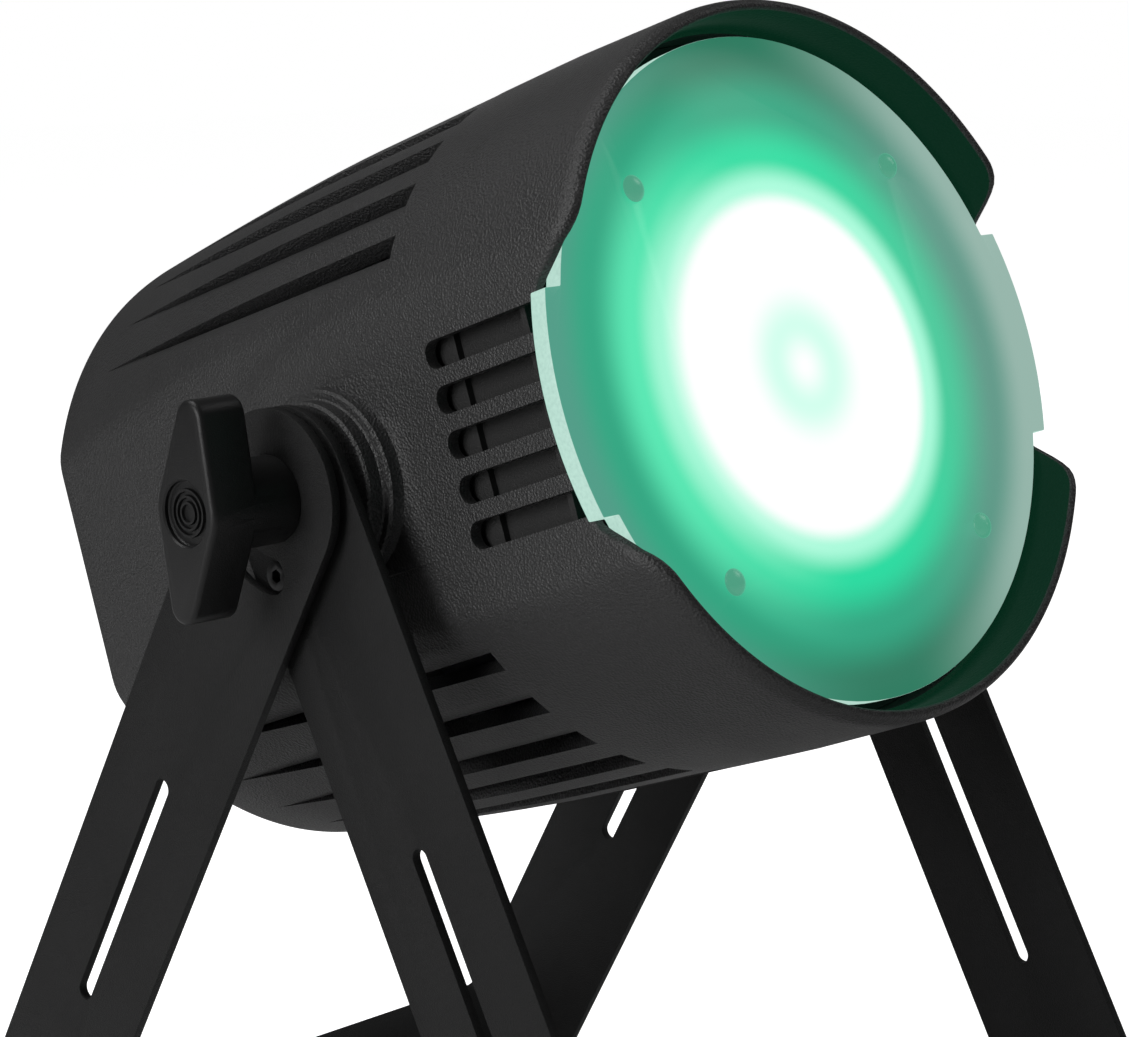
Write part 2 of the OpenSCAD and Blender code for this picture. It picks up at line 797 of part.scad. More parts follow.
module control_board() {
    wide = 76;
    tall = 58;
    low = button_y - 10;
    color("#1f6b3f") on_head() {
        translate([-wide / 2, low, panel_z]) cube([wide, tall, board_t]);
        for (x = button_xs) translate([x - 3, button_y - 3, cover_z + button_in + button_travel + clear])
            cube([6, 6, panel_z - cover_z - button_in - button_travel - clear + fit]);
        translate([-display_w / 2 + 2, display_y - display_h / 2 + 2, cover_z + 2])
            cube([display_w - 4, display_h - 4, panel_z - cover_z - 2 + fit]);
        for (x = [3 - wide / 2, wide / 2 - 3]) for (y = [low + 3, low + tall - 3])
            translate([x, y, cover_z]) cylinder(r = 2.5, h = panel_z - cover_z + fit);
    }
}

// ---- Rear panel ----

module socket_places(y) {
    for (x = [-socket_x, socket_x]) translate([x, y, 0]) children();
}

module rear_cover() {
    through = cover_t + 2 * over;
    color("#2a2a2c") on_head() difference() {
        room(rear_in_r - clear, rear_in_r - clear, in_x - clear, cover_out, cover_z);
        translate([0, 0, cover_out - over]) {
            for (a = cover_screws) rotate([0, 0, a]) translate([cover_screw_r, 0, 0])
                cylinder(r = m4_hole, h = through);
            translate([-display_w / 2, display_y - display_h / 2, 0]) cube([display_w, display_h, through]);
            for (x = button_xs) translate([x, button_y, 0]) cylinder(r = button_r + clear, h = through);
            for (y = [dmx_y, power_y]) socket_places(y) {
                cylinder(r = socket_r + clear, h = through);
                for (s = [-1, 1]) translate(s * screw_offset) cylinder(r = m3_r + fit, h = through);
            }
            translate([socket_x - latch_w / 2 - clear, dmx_y + latch_y - latch_h / 2 - clear, 0])
                cube([latch_w + 2 * clear, latch_h + 2 * clear, through]);
            translate(fuse_at) cylinder(r = fuse_body_r + clear, h = through);
            for (x = [-eye_r, eye_r]) translate([x, eye_y, 0]) cylinder(r = eye_rod_r + fit, h = through);
        }
    }
}

module rear_cover_screws() {
    color("#a9a9ab") on_head() for (a = cover_screws) rotate([0, 0, a])
        translate([cover_screw_r, 0, cover_out]) pan_screw(3.6, 2.4, m4_r, post_len);
}

module display_window() {
    proud = 0.4;
    color("#0b1a22") on_head()
        translate([clear - display_w / 2, clear - display_h / 2 + display_y, cover_out - proud])
            cube([display_w - 2 * clear, display_h - 2 * clear, proud + cover_t + 1]);
}

module button(i) {
    color("#c9cacc") on_head() translate([button_xs[i], button_y, cover_out - button_out]) {
        cylinder(r = button_r, h = button_out + cover_t);
        translate([0, 0, button_out + cover_t]) cylinder(r = 2.5, h = button_in);
    }
}

module button_menu() {
    button(0);
}

module button_down() {
    button(1);
}

module button_up() {
    button(2);
}

module button_enter() {
    button(3);
}

// A panel socket with a square flange, its round mouth facing the rear
module round_socket() {
    difference() {
        union() {
            translate([-flange_w / 2, -flange_h / 2, cover_out - flange_t])
                cube([flange_w, flange_h, flange_t]);
            translate([0, 0, cover_out - fit]) cylinder(r = socket_r, h = socket_len);
        }
        translate([0, 0, cover_out - flange_t - over]) cylinder(r = socket_bore_r, h = socket_depth + over);
        for (s = [-1, 1]) translate([s * screw_offset[0], s * screw_offset[1], cover_out - flange_t - over])
            cylinder(r = m3_r + fit, h = flange_t + 2 * over);
    }
}

module contact_pins(count, pin_r) {
    floor_z = cover_out - flange_t + socket_depth;
    for (i = [0 : count - 1]) rotate([0, 0, 90 + i * 360 / count]) translate([4.4, 0, floor_z - pin_len])
        cylinder(r = pin_r, h = pin_len + over, $fn = 24);
}

module power_inlet() {
    color("#2b4f9e") on_head() translate([-socket_x, power_y, 0]) {
        round_socket();
        contact_pins(3, 1.4);
    }
}

module power_outlet() {
    color("#8b8d90") on_head() translate([socket_x, power_y, 0]) {
        round_socket();
        contact_pins(3, 1.4);
    }
}

module dmx_inlet() {
    color("#1c1c1d") on_head() translate([-socket_x, dmx_y, 0]) {
        round_socket();
        contact_pins(3, 1.2);
    }
}

module dmx_outlet() {
    core_r = 7;
    core_len = 13;
    core_z = cover_out - flange_t + socket_depth - core_len;
    color("#1c1c1d") on_head() translate([socket_x, dmx_y, 0]) difference() {
        union() {
            round_socket();
            translate([0, 0, core_z]) cylinder(r = core_r, h = core_len + over);
        }
        for (i = [0 : 2]) rotate([0, 0, 90 + i * 120]) translate([core_r - 3, 0, core_z - over])
            cylinder(r = 1.3, h = 10);
        translate([-latch_w / 2 - clear, latch_y - latch_h / 2 - clear, cover_out - flange_t - over])
            cube([latch_w + 2 * clear, latch_h + 2 * clear, flange_t + cover_t + latch_travel + clear + over]);
    }
}

module dmx_latch() {
    low = cover_out - flange_t - latch_out;
    color("#b9babc") on_head() translate([socket_x - latch_w / 2, dmx_y + latch_y - latch_h / 2, low])
        cube([latch_w, latch_h, latch_out + flange_t + cover_t]);
}

module connector_screws() {
    color("#a9a9ab") on_head() for (y = [dmx_y, power_y]) socket_places(y)
        for (s = [-1, 1]) translate([s * screw_offset[0], s * screw_offset[1], cover_out - flange_t])
            pan_screw(2.4, 1.4, m3_r - fit, flange_t + cover_t + 1);
}

module fuse_holder() {
    color("#19191a") on_head() translate([fuse_at[0], fuse_at[1], fuse_rim]) difference() {
        union() {
            cylinder(r = fuse_body_r + 2, h = cover_out - fuse_rim);
            cylinder(r = fuse_body_r, h = fuse_len + 3);
        }
        translate([0, 0, -over]) cylinder(r = fuse_bore_r, h = fuse_len + over);
    }
}

module fuse_cap() {
    cap_r = fuse_body_r + 1;
    cap_h = 5;
    slot_w = 1.6;
    slot_deep = 1.2;
    color("#202022") on_head() translate([fuse_at[0], fuse_at[1], fuse_rim]) difference() {
        union() {
            translate([0, 0, -cap_h]) cylinder(r = cap_r, h = cap_h);
            translate([0, 0, -fit]) cylinder(r = fuse_bore_r - fit, h = 3);
        }
        translate([-cap_r - over, -slot_w / 2, -cap_h - over]) cube([2 * (cap_r + over), slot_w, slot_deep + over]);
    }
}

module fuse() {
    long = 20;
    color("#cfd3d6") on_head() translate([fuse_at[0], fuse_at[1], fuse_rim + fuse_len - long])
        cylinder(r = 2.6, h = long);
}

module safety_eye() {
    bend_z = cover_out - eye_stand;
    color("#7d7f82") on_head() translate([0, eye_y, 0]) {
        for (x = [-eye_r, eye_r]) translate([x, 0, bend_z])
            cylinder(r = eye_rod_r, h = cover_z - bend_z + 2);
        translate([0, 0, bend_z]) intersection() {
            rotate([90, 0, 0]) rotate_extrude() translate([eye_r, 0]) circle(eye_rod_r, $fn = 32);
            translate([-2 * eye_r, -eye_r, -2 * eye_r]) cube([4 * eye_r, 2 * eye_r, 2 * eye_r]);
        }
        for (x = [-eye_r, eye_r]) translate([x, 0, cover_z]) cylinder(r = eye_rod_r + 2, h = 2);
    }
}

inner_bracket();
outer_bracket();
stop_screws();
spacer_washers();
body_shell();
thread_inserts();
friction_discs();
knob_left();
knob_right();
stud_left();
stud_right();
diffuser();
diffuser_posts();
diffuser_screws();
front_plate();
reflector();
cob_holder();
cob_module();
heat_sink();
heat_sink_screws();
lamp_leads();
fan_frame();
fan_rotor();
fan_screws();
chassis_plate();
chassis_screws();
power_supply();
driver_board();
control_board();
rear_cover();
rear_cover_screws();
display_window();
button_menu();
button_down();
button_up();
button_enter();
power_inlet();
power_outlet();
dmx_inlet();
dmx_outlet();
dmx_latch();
connector_screws();
fuse_holder();
fuse_cap();
fuse();
safety_eye();
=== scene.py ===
import json
import math

import bmesh
import bpy
from mathutils import Matrix, Vector, geometry


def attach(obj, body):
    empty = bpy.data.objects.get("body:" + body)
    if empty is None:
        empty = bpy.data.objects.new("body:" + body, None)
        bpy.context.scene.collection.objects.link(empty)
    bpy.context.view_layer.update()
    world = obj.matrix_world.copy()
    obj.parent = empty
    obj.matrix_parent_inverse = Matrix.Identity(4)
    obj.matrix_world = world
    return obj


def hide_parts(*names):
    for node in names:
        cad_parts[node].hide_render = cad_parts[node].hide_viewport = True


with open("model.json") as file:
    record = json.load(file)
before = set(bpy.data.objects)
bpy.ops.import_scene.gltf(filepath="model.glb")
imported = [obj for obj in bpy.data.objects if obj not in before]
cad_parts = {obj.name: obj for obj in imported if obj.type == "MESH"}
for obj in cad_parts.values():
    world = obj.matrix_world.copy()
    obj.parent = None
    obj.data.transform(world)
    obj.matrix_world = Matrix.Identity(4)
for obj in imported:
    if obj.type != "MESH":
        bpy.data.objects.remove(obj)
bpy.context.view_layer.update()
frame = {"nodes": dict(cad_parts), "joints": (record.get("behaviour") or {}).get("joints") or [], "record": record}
nodes = frame["nodes"]
joints = {j["name"]: j for j in frame["joints"]}
slots = {p["node"]: p["material_slot"] for p in frame["record"]["subparts"]}
bodyOf = {n: b for b, names in frame["record"]["behaviour"]["bodies"].items() for n in names}
pivot = Vector(joints["head_tilt"]["pos_m"])
beam = Vector(joints["fan_spin"]["axis"])          # the way the light shines
turn = math.pi / 2 - math.asin(beam.z)
headFrame = Matrix.Translation(pivot) @ Matrix.Rotation(turn, 4, "X")   # x right, y up, z along the beam
mm = 0.001
print("frame loaded:", len(nodes), "nodes")


# camera, light and floor

view = {
    "azimuth": -45.56,       # degrees, from the left of the front
    "elevation": 10.4,
    "roll": -0.7,
    "distance": 0.9484,
    "aim": (-0.0043, -0.0014, -0.0218),   # from the pivot
    "lens": 97.27,
    "clip": (0.05, 30),
}
studio = {
    "worldStrength": 0.1,
    "keyPower": 8.5, "keySize": 0.8, "keyAt": (-0.5, 0.5, 1.6),
    "fillPower": 18, "fillSize": 0.8, "fillAt": (-1.7, 0.0, 0.7),
    "rimPower": 4, "rimSize": 0.8, "rimAt": (1.2, -0.6, 1.5),
    "backPower": 1.5, "backSize": 1.0, "backAt": (1.5, 1.4, 0.4),
    "floorSize": 12, "floorColor": 0.85, "floorGlow": 0.91,
}


def makeCamera():
    az, el = math.radians(view["azimuth"]), math.radians(view["elevation"])
    back = Vector((math.sin(az) * math.cos(el), -math.cos(az) * math.cos(el), math.sin(el)))
    data = bpy.data.cameras.new("camera")
    data.sensor_width = 36
    data.lens = view["lens"]
    data.clip_start, data.clip_end = view["clip"]
    cam = bpy.data.objects.new("camera", data)
    look = back.to_track_quat("Z", "Y").to_matrix().to_4x4()
    spot = pivot + Vector(view["aim"]) + back * view["distance"]
    cam.matrix_world = Matrix.Translation(spot) @ look @ Matrix.Rotation(math.radians(view["roll"]), 4, "Z")
    bpy.context.scene.collection.objects.link(cam)
    bpy.context.scene.camera = cam


def makeLamp(name, power, size, place):
    data = bpy.data.lights.new(name, "AREA")
    data.energy, data.size = power, size
    lamp = bpy.data.objects.new(name, data)
    lamp.location = place
    lamp.rotation_euler = (Vector(place) - pivot).to_track_quat("Z", "Y").to_euler()
    bpy.context.scene.collection.objects.link(lamp)


def makeStudio():
    scene = bpy.context.scene
    scene.view_settings.view_transform = "Standard"
    world = bpy.data.worlds.new("studio")
    scene.world = world
    world.use_nodes = True
    sky = world.node_tree
    back = sky.nodes["Background"]
    back.inputs["Color"].default_value = (1, 1, 1, 1)
    ray = sky.nodes.new("ShaderNodeLightPath")
    level = addNode(sky, "ShaderNodeMapRange", To_Min=studio["worldStrength"], To_Max=1)
    sky.links.new(ray.outputs["Is Camera Ray"], level.inputs["Value"])
    sky.links.new(level.outputs["Result"], back.inputs["Strength"])
    for name in ("key", "fill", "rim", "back"):
        makeLamp(name, studio[name + "Power"], studio[name + "Size"], studio[name + "At"])
    bm = bmesh.new()
    bmesh.ops.create_grid(bm, x_segments=1, y_segments=1, size=studio["floorSize"] / 2)
    floor = meshObject("floor", bm)
    mat = bpy.data.materials.new("floor white")
    mat.use_nodes = True
    tree = mat.node_tree
    tree.nodes.clear()
    out = tree.nodes.new("ShaderNodeOutputMaterial")
    add = tree.nodes.new("ShaderNodeAddShader")
    matt = tree.nodes.new("ShaderNodeBsdfDiffuse")
    lit = tree.nodes.new("ShaderNodeEmission")
    path = tree.nodes.new("ShaderNodeLightPath")
    seen = calculate(tree, "MULTIPLY", path.outputs["Is Camera Ray"], studio["floorGlow"])
    tree.links.new(seen, lit.inputs["Strength"])
    grey = studio["floorColor"]
    matt.inputs["Color"].default_value = (grey, grey, grey, 1)
    tree.links.new(matt.outputs[0], add.inputs[0])
    tree.links.new(lit.outputs[0], add.inputs[1])
    tree.links.new(add.outputs[0], out.inputs["Surface"])
    floor.data.materials.append(mat)


# mesh helpers

def meshObject(name, bm):
    mesh = bpy.data.meshes.new(name)
    bm.to_mesh(mesh)
    bm.free()
    obj = bpy.data.objects.new(name, mesh)
    bpy.context.scene.collection.objects.link(obj)
    return obj


def applyModifiers(obj):
    graph = bpy.context.evaluated_depsgraph_get()
    mesh = bpy.data.meshes.new_from_object(obj.evaluated_get(graph))
    obj.modifiers.clear()
    obj.data = mesh


def smooth(obj, angle=35):
    obj.data.shade_smooth()
    obj.data.set_sharp_from_angle(angle=math.radians(angle))


def roundEdges(obj, width, segments=2, angle=28):
    mod = obj.modifiers.new("rounded edges", "BEVEL")
    mod.width, mod.segments = width, segments
    mod.limit_method = "ANGLE"
    mod.angle_limit = math.radians(angle)
    mod.profile = 0.5
    mod.use_clamp_overlap = True
    mod.miter_outer = "MITER_ARC"
    return mod


def takeOver(obj, material, *names):
    # the piece stands for these CAD nodes, rides where they ride and keeps their slot
    obj.data.materials.append(material)
    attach(obj, bodyOf[names[0]])
    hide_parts(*names)


def softened(name, node, width, segments=2, flat=0.6, angle=28):
    # a merged copy of a CAD node with its edges rounded
    bm = bmesh.new()
    bm.from_mesh(nodes[node].data)
    bmesh.ops.remove_doubles(bm, verts=bm.verts, dist=0.003 * mm)
    bmesh.ops.dissolve_limit(bm, angle_limit=math.radians(flat), verts=bm.verts, edges=bm.edges)
    obj = meshObject(name, bm)
    if width:
        roundEdges(obj, width, segments, angle)
        applyModifiers(obj)
    smooth(obj)
    return obj


# housing: one cast shell, lofted round the beam, then cut

housing = {
    "bodyR": 107.6, "rearR": 102, "taperStart": -15, "taperPower": 1.5,   # mm, z runs along the beam
    "frontR": 106.2, "frontTaper": 70,
    "flat": 96.5, "rearFlat": 94.9,                      # flat sides
    "crease": 1.4, "creaseInside": 0.4,                  # how soft the edges of the flat sides are
    "panelRear": -36, "panelRise": 40, "panelV": (30, 17),   # where the raised flat panel ends, by height
    "panelCurve": 2.2, "panelStep": 7,
    "rear": -132, "rearEdge": 1.6, "bodyStart": -128, "rimZ": 116,
    "notchZ": 97.8, "notchHalf": 32.5, "notchRun": 22, "notchPower": 0.7,
    "beadR": 2.8, "beadZ": 6, "beadIn": 1.1,
    "hoodR": 102.3, "hoodFlat": 93.2, "seat": 97.6,
    "wallR": 101, "wallFlat": 92.5, "flare": -60, "wallRearR": 97,
    "coverR": 98, "coverZ": -128, "ledgeR": 94.5, "ledgeFlat": 89, "ledgeZ": -120,
    "around": 288, "rearSteps": 5, "stations": 26, "rimSteps": 7, "innerSteps": 4,
    "grooveStart": 5.15, "groovePitch": 10.3, "grooves": 6,   # degrees, and the grooves in a quarter
    "grooveW": 10.4, "grooveDeep": 4.3, "grooveFront": 40, "clear": 6,
    "slitW": 6, "slitEnd": -88, "slitDeep": 9.2,
    "ventPitch": 12.9, "ventH": 8, "vents": 5, "ventRear": 49.5,
    "bossR": 26, "bossStepR": 29, "bossTop": 107.4, "bossStep": 101.9, "studR": 4.05,
    "padHalf": 29, "padFront": 38, "padHigh": 2.2, "padRear": -2, "padFoot": 94,
}


def softMin(a, b, k):
    h = min(max(0.5 + 0.5 * (b - a) / k, 0), 1)
    return b * (1 - h) + a * h - k * h * (1 - h)


def housingRadius(z):
    h = housing
    f = min(max((h["taperStart"] - z) / (h["taperStart"] - h["rear"]), 0), 1)
    g = min(max((z - h["frontTaper"]) / (h["rimZ"] - h["frontTaper"]), 0), 1)
    return h["bodyR"] - (h["bodyR"] - h["rearR"]) * f ** h["taperPower"] - (h["bodyR"] - h["frontR"]) * g


def panelFlat(z, y):
    # the flat panel round the pivot and ahead of it stands a little proud of the rear part
    h = housing
    low, run = h["panelV"]
    up = max((abs(y) - low) / run, 0) ** h["panelCurve"]
    f = min(max((z - (h["panelRear"] + h["panelRise"] * up)) / h["panelStep"] + 0.5, 0), 1)
    return h["rearFlat"] + (h["flat"] - h["rearFlat"]) * f * f * (3 - 2 * f)


def notchedRim(y):
    h = housing
    f = min(max((abs(y) - h["notchHalf"]) / h["notchRun"], 0), 1) ** h["notchPower"]
    return h["notchZ"] + (h["rimZ"] - h["notchZ"]) * (1 - math.cos(math.pi * f)) / 2


def housingSection(angle):
    # closed loop of radius, flat and height along the beam, from the rear edge over the rim and back inside
    h = housing
    y = h["flat"] * abs(math.tan(angle)) if abs(math.cos(angle)) > 0.05 else h["bodyR"]
    y = min(y, h["bodyR"] * abs(math.sin(angle)))
    rim = notchedRim(y)
    lobe = (rim - h["notchZ"]) / (h["rimZ"] - h["notchZ"])     # 0 in the notch, 1 on a lobe
    beadR = 1.0 + (h["beadR"] - 1.0) * lobe
    beadZ = 1.0 + (h["beadZ"] - 1.0) * lobe
    loop = []
    edge, last = h["rearEdge"], h["rearSteps"] - 1
    for i in range(last, -1, -1):                        # rounded rear edge
        a = math.pi / 2 * i / last
        inward = edge * (1 - math.cos(a))
        loop.append((h["rearR"] - inward, h["rearFlat"] - inward, h["rear"] + edge * (1 - math.sin(a))))
    start, end = h["bodyStart"], rim - beadZ
    for i in range(h["stations"]):
        z = start + (end - start) * i / (h["stations"] - 1)
        loop.append((housingRadius(z), panelFlat(z, y), z))
    for i in range(1, h["rimSteps"] + 1):                # rounded outside of the rim
        a = math.pi / 2 * i / h["rimSteps"]
        inward = beadR * (1 - math.cos(a))
        loop.append((housingRadius(end) - inward, h["flat"] - inward * 0.8, end + beadZ * math.sin(a)))
    inner = h["beadIn"]
    for i in range(h["innerSteps"]):                     # and its inside
        a = math.pi / 2 * i / (h["innerSteps"] - 1)
        inward = inner * (1 - math.sin(a))
        loop.append((h["hoodR"] + inward, h["hoodFlat"] + min(inward, 0.6), rim - inner * (1 - math.cos(a))))
    seat = min(h["seat"], rim - inner - 0.8)
    loop += [
        (h["hoodR"], h["hoodFlat"], seat + 0.4), (h["wallR"], h["wallFlat"], seat),
        (h["wallR"], h["wallFlat"], 40), (h["wallR"], h["wallFlat"], 0),
        (h["wallR"], h["wallFlat"], h["flare"]), (h["wallRearR"], h["wallFlat"], h["ledgeZ"]),
        (h["ledgeR"], h["ledgeFlat"], h["ledgeZ"]), (h["ledgeR"], h["ledgeFlat"], h["coverZ"]),
        (h["coverR"], h["wallFlat"], h["coverZ"]), (h["coverR"], h["wallFlat"], h["rear"]),
    ]
    return loop


def housingPoint(angle, radius, flat, z, softness):
    across = abs(math.cos(angle))
    reach = softMin(radius, flat / across, softness) if across > 0.02 else radius
    return Vector((reach * math.cos(angle), reach * math.sin(angle), z)) * mm


def loftHousing():
    h = housing
    bm = bmesh.new()
    rings = []
    outside = h["rearSteps"] + h["stations"] + h["rimSteps"]
    hood = outside + h["innerSteps"] - 1                 # where the inside of the hood starts
    for k in range(h["around"]):
        angle = 2 * math.pi * (k + 0.5) / h["around"]
        loop = housingSection(angle)
        soft = [h["crease"] if i < outside else h["creaseInside"] for i in range(len(loop))]
        rings.append([bm.verts.new(housingPoint(angle, *spot, s)) for spot, s in zip(loop, soft)])
    count = len(rings[0])
    for k, ring in enumerate(rings):
        after = rings[(k + 1) % len(rings)]
        for i in range(count):
            j = (i + 1) % count
            face = bm.faces.new((ring[i], after[i], after[j], ring[j]))
            # the faces just inside the rim take the hood material with its painted green glow
            face.material_index = 1 if hood <= i < hood + 2 else 0
    bmesh.ops.recalc_face_normals(bm, faces=bm.faces)
    return meshObject("housing", bm)


def prism(bm, outline, low, high, place):
    # an outline in x and y, extruded from low to high along z, then placed; sizes in mm
    base = [bm.verts.new(place @ (Vector((x, y, low)) * mm)) for x, y in outline]
    face = bm.faces.new(base)
    made = bmesh.ops.extrude_face_region(bm, geom=[face])
    top = [v for v in made["geom"] if isinstance(v, bmesh.types.BMVert)]
    bmesh.ops.translate(bm, verts=top, vec=place.to_3x3() @ (Vector((0, 0, high - low)) * mm))


def cutterObject(name, bm):
    bmesh.ops.recalc_face_normals(bm, faces=bm.faces)
    return meshObject(name, bm)


def combine(obj, tool, operation):
    mod = obj.modifiers.new(operation, "BOOLEAN")
    mod.operation, mod.object, mod.solver = operation, tool, "EXACT"
    applyModifiers(obj)
    bpy.data.objects.remove(tool)


def grooveFrames():
    # x towards the flat side, y outwards from the beam, z along the beam; one for each groove
    h = housing
    for half in (math.pi / 2, -math.pi / 2):
        for i in range(h["grooves"]):
            for side in (-1, 1):
                angle = half + side * math.radians(h["grooveStart"] + h["groovePitch"] * i)
                out = Vector((math.cos(angle), math.sin(angle), 0))
                across = Vector((-out.y, out.x, 0)) * side
                yield Matrix((across, out, Vector((0, 0, 1)))).transposed().to_4x4()


def grooveCutters():
    h = housing
    wedge, slit = bmesh.new(), bmesh.new()
    half = h["grooveW"] / 2
    floor, top = h["bodyR"] - h["grooveDeep"], h["bodyR"] + h["clear"]
    surface = math.sqrt(h["bodyR"] ** 2 - half ** 2)
    profile = [(-half, floor), (half, surface), (half + 0.2, top), (-half, top)]
    front, rear = -h["grooveFront"] + 0.6, -h["slitEnd"]
    plan = [(-half + 0.05, front), (-half + h["slitW"], front), (-half + 0.9, rear), (-half + 0.05, rear)]
    lying = Matrix.Rotation(-math.pi / 2, 4, "X")        # slits are drawn in plan: x across, y along
    for place in grooveFrames():
        prism(wedge, profile, h["rear"], h["grooveFront"], place)
        prism(slit, plan, h["bodyR"] - h["slitDeep"], top, place @ lying)
    return cutterObject("groove wedges", wedge), cutterObject("groove slits", slit)


def ventOutline():
    # a slot open at the front, rounded at the rear; x is height, y along the beam
    h = housing
    r = h["ventH"] / 2
    pts = [(r, h["notchZ"] + 8), (-r, h["notchZ"] + 8)]
    for i in range(9):
        a = math.pi + math.pi * i / 8
        pts.append((r * math.cos(a), h["ventRear"] + r + r * 0.9 * math.sin(a)))
    return pts


def sideFrame(side):
    # x is height, y along the beam, z outwards; the side is -1 or 1
    return Matrix((Vector((0, side, 0)), Vector((0, 0, 1)), Vector((side, 0, 0)))).transposed().to_4x4()


def sideVents():
    h = housing
    bm = bmesh.new()
    for side in (-1, 1):
        for i in range(h["vents"]):
            step = (i - (h["vents"] - 1) / 2) * h["ventPitch"]
            outline = [(x + step, y) for x, y in ventOutline()]
            prism(bm, outline, 85, 112, sideFrame(side))
    return cutterObject("side vents", bm)


def lathe(bm, profile, place, segments=96):
    # a closed solid turned from (radius, height) points about z
    verts = [bm.verts.new(place @ (Vector((r, 0, z)) * mm)) for r, z in profile]
    edges = [bm.edges.new(pair) for pair in zip(verts, verts[1:])]
    axis = place.to_3x3() @ Vector((0, 0, 1))
    made = bmesh.ops.spin(bm, geom=verts + edges, cent=place.translation, axis=axis, angle=2 * math.pi,
                          steps=segments, use_merge=True, use_duplicate=False)
    bmesh.ops.remove_doubles(bm, verts=bm.verts, dist=0.01 * mm)


def bossesAndPads():
    h = housing
    boss, pad = bmesh.new(), bmesh.new()
    r, top, stepR, step, flat = h["bossR"], h["bossTop"], h["bossStepR"], h["bossStep"], h["flat"]
    profile = [
        (0, 84.5), (21, 84.5), (21, 93), (stepR + 1.2, 93), (stepR + 1.2, flat + 0.3),
        (stepR + 0.35, flat + 0.6), (stepR, flat + 1.4), (stepR, step - 0.8), (stepR - 0.8, step),
        (r + 0.5, step), (r, step + 0.5), (r, top - 0.8), (r - 0.8, top), (0, top),
    ]
    # the pad falls away from the boss towards the front
    half, rear, front = h["padHalf"], h["padRear"], h["padFront"]
    low, high, end = h["padFoot"], flat + h["padHigh"], flat - 0.15
    wide, narrow = half + 1.6, half + 1
    foot = [(-wide, rear, low), (wide, rear, low), (narrow, front, low), (-narrow, front, low)]
    face = [(-half, rear, high), (half, rear, high), (half, front, end), (-half, front, end)]
    for side in (-1, 1):
        place = sideFrame(side)
        lathe(boss, profile, place)
        a, b = [[pad.verts.new(place @ (Vector(spot) * mm)) for spot in ring] for ring in (foot, face)]
        pad.faces.new(a)
        pad.faces.new(b)
        for i in range(4):
            pad.faces.new((a[i], a[(i + 1) % 4], b[(i + 1) % 4], b[i]))
    return cutterObject("bosses", boss), cutterObject("pads", pad)


def studBores():
    bm = bmesh.new()
    r = housing["studR"]
    for side in (-1, 1):
        lathe(bm, [(0, 80), (r, 80), (r, 112), (0, 112)], sideFrame(side), 48)
    return cutterObject("stud bores", bm)


def ventLiners():
    # dark plates behind the side vents, with the step at their rear ends
    bm = bmesh.new()
    for side in (-1, 1):
        prism(bm, [(-36, 44), (36, 44), (36, 96), (-36, 96)], 86.4, 88.2, sideFrame(side))
        prism(bm, [(-33, 45), (33, 45), (33, 56.5), (-33, 56.5)], 88.1, 90.4, sideFrame(side))
    obj = cutterObject("vent liners", bm)
    for face in obj.data.polygons:
        face.material_index = 2
    return obj


def makeHousing():
    shell = loftHousing()
    wedges, slits = grooveCutters()
    combine(shell, wedges, "DIFFERENCE")
    combine(shell, slits, "DIFFERENCE")
    combine(shell, sideVents(), "DIFFERENCE")
    bosses, pads = bossesAndPads()
    combine(shell, pads, "UNION")
    combine(shell, bosses, "UNION")
    combine(shell, studBores(), "DIFFERENCE")
    bm = bmesh.new()
    bm.from_mesh(shell.data)
    liners = ventLiners()
    bm.from_mesh(liners.data)
    bpy.data.objects.remove(liners)
    bmesh.ops.remove_doubles(bm, verts=bm.verts, dist=0.002 * mm)
    bm.transform(headFrame)
    bm.to_mesh(shell.data)
    bm.free()
    smooth(shell, 30)
    return shell


# clamping knobs

knob = {
    "hubR": 12.7, "hubFrom": 121.1, "handleFrom": 136, "handleTo": 152.6,   # mm from the middle
    "tipR": 5.6, "tipAt": (2.6, 26.4), "round": 1.7,
    "recessR": 9.2, "recessDeep": 2, "rings": (2.4, 4.2, 6.0), "ringW": 0.8, "ringH": 0.9,
    "boreR": 4.05, "boreDeep": 10,
}


def spindleOutline(grow=0):
    # the outline round the hub and the two wing tips
    pts = []
    x, y = knob["tipAt"]
    for cx, cy, r in ((0, 0, knob["hubR"]), (x, y, knob["tipR"]), (-x, -y, knob["tipR"])):
        for i in range(40):
            a = 2 * math.pi * i / 40
            pts.append(((r + grow) * math.cos(a) + cx, (r + grow) * math.sin(a) + cy))
    return [pts[i] for i in geometry.convex_hull_2d([Vector(q) for q in pts])]


